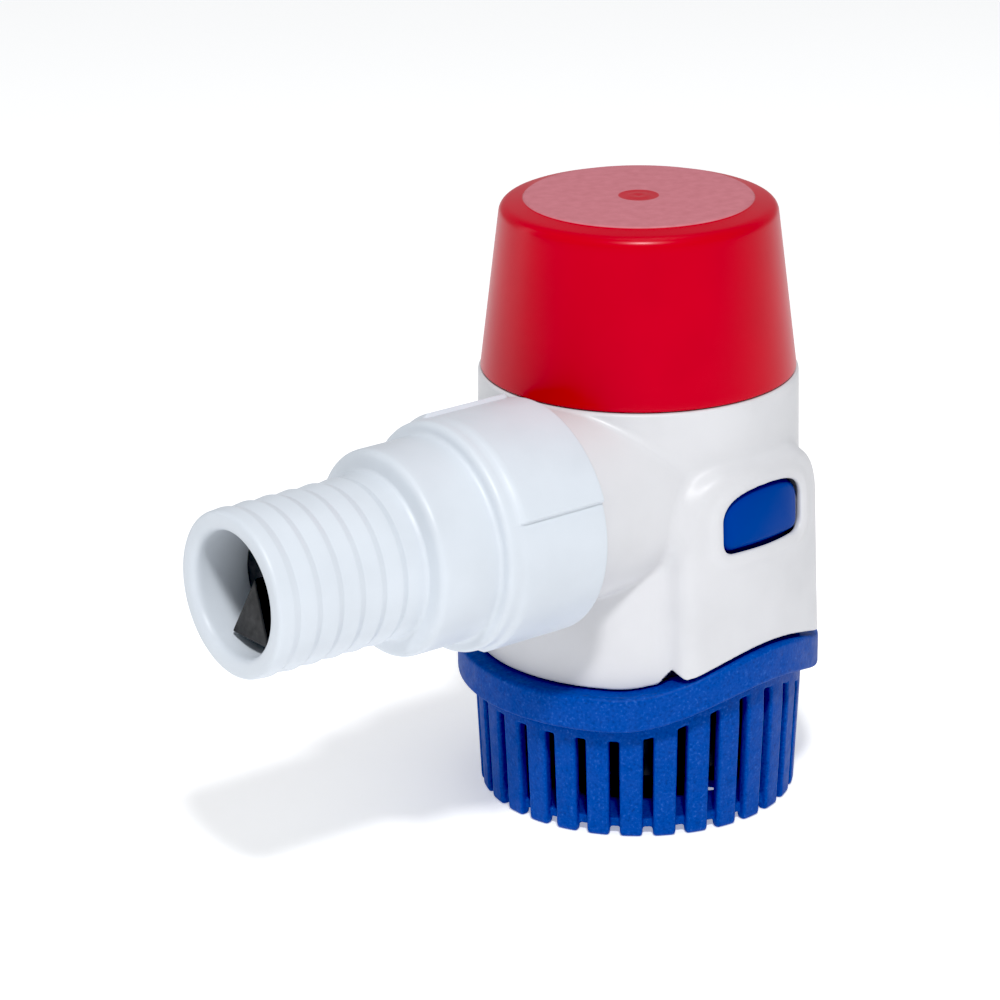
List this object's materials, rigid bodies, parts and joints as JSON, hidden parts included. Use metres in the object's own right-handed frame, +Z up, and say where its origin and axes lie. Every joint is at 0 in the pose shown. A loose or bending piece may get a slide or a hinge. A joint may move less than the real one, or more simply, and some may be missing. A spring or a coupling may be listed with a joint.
{
  "type": "bilge pump",
  "caption": "Submersible bilge pump: slotted clip-on strainer, white body with side discharge, tapered motor cap, release buttons and screw-on barbed hose fitting with check valve.",
  "frame": {"origin": "on the motor axis at the strainer's resting face, in the middle of its centre pad", "axes": "+Z up along the motor axis; -X along the discharge, toward the hose end; the release buttons face nearly along -Y and +Y, 6.2 degrees round toward +X and -X"},
  "size_m": [0.1347, 0.069, 0.1159],
  "materials": {
    "cap_red": "satin moulded plastic",
    "body_white": "satin moulded plastic",
    "fitting_white": "satin moulded plastic, slightly cooler white",
    "strainer_blue": "fine textured moulded plastic",
    "button_blue": "smooth moulded plastic",
    "chamber_grey": "dark moulded plastic",
    "impeller_grey": "moulded plastic",
    "shaft_steel": "ground",
    "lamination_steel": "stacked plates",
    "zinc_plate": "zinc plated",
    "bronze": "sintered bronze",
    "copper_wire": null,
    "copper_bar": null,
    "spring_brass": "rolled brass",
    "ferrite": "sintered ferrite",
    "carbon": "pressed carbon",
    "card_brown": "phenolic card",
    "nylon": "nylon",
    "black_rubber": "matt"
  },
  "bodies": {
    "strainer": {"strainer_base": "strainer_blue"},
    "front_tab": {"release_tab_front": "button_blue"},
    "back_tab": {"release_tab_back": "button_blue"},
    "pump": {"pump_housing": "body_white", "impeller_housing": "chamber_grey", "shaft_seal": "black_rubber", "motor_can": "zinc_plate", "lower_bearing": "bronze", "upper_bearing": "bronze", "magnet_left": "ferrite", "magnet_right": "ferrite", "brush_card": "card_brown", "brush_left": "carbon", "brush_right": "carbon", "brush_arm_left": "spring_brass", "brush_arm_right": "spring_brass", "motor_end_plate": "zinc_plate", "terminal_positive": "spring_brass", "terminal_negative": "spring_brass", "motor_cap": "cap_red", "cap_o_ring": "black_rubber", "wire_gland": "black_rubber"},
    "rotor": {"impeller": "impeller_grey", "motor_shaft": "shaft_steel", "lower_thrust_washer": "nylon", "upper_thrust_washer": "nylon", "armature_core": "lamination_steel", "armature_winding": "copper_wire", "commutator": "copper_bar"},
    "port_seal": {"port_o_ring": "black_rubber"},
    "hose_fitting": {"discharge_fitting": "fitting_white", "check_valve_seat": "black_rubber"},
    "valve_flap": {"check_valve_flap": "black_rubber"}
  },
  "joints": [
    {"name": "pump_lift", "type": "slide", "parent": "strainer", "child": "pump", "axis": [0, 0, 1], "range_m": [0, 0.05]},
    {"name": "front_tab_press", "type": "hinge", "parent": "strainer", "child": "front_tab", "pos_m": [0.00327, -0.03007, 0.0318], "axis": [-0.9942, -0.108, 0], "range_deg": [0, 4], "stiffness_Nm_per_rad": 0.6},
    {"name": "back_tab_press", "type": "hinge", "parent": "strainer", "child": "back_tab", "pos_m": [-0.00327, 0.03007, 0.0318], "axis": [0.9942, 0.108, 0], "range_deg": [0, 4], "stiffness_Nm_per_rad": 0.6},
    {"name": "rotor_spin", "type": "hinge", "parent": "pump", "child": "rotor", "pos_m": [0, 0, 0.06], "axis": [0, 0, 1], "continuous": true},
    {"name": "fitting_draw", "type": "slide", "parent": "pump", "child": "port_seal", "axis": [-1, 0, 0], "range_m": [0, 0.008]},
    {"name": "fitting_turn", "type": "hinge", "parent": "port_seal", "child": "hose_fitting", "pos_m": [-0.05, -0.011, 0.0649], "axis": [-1, 0, 0], "range_deg": [0, 720]},
    {"name": "valve_swing", "type": "hinge", "parent": "hose_fitting", "child": "valve_flap", "pos_m": [-0.0883, -0.011, 0.0749], "axis": [0, 1, 0], "range_deg": [0, 30]}
  ],
  "couplings": [
    {"joint": "fitting_draw", "follows": "fitting_turn", "m_per_rad": 0.0006366}
  ]
}
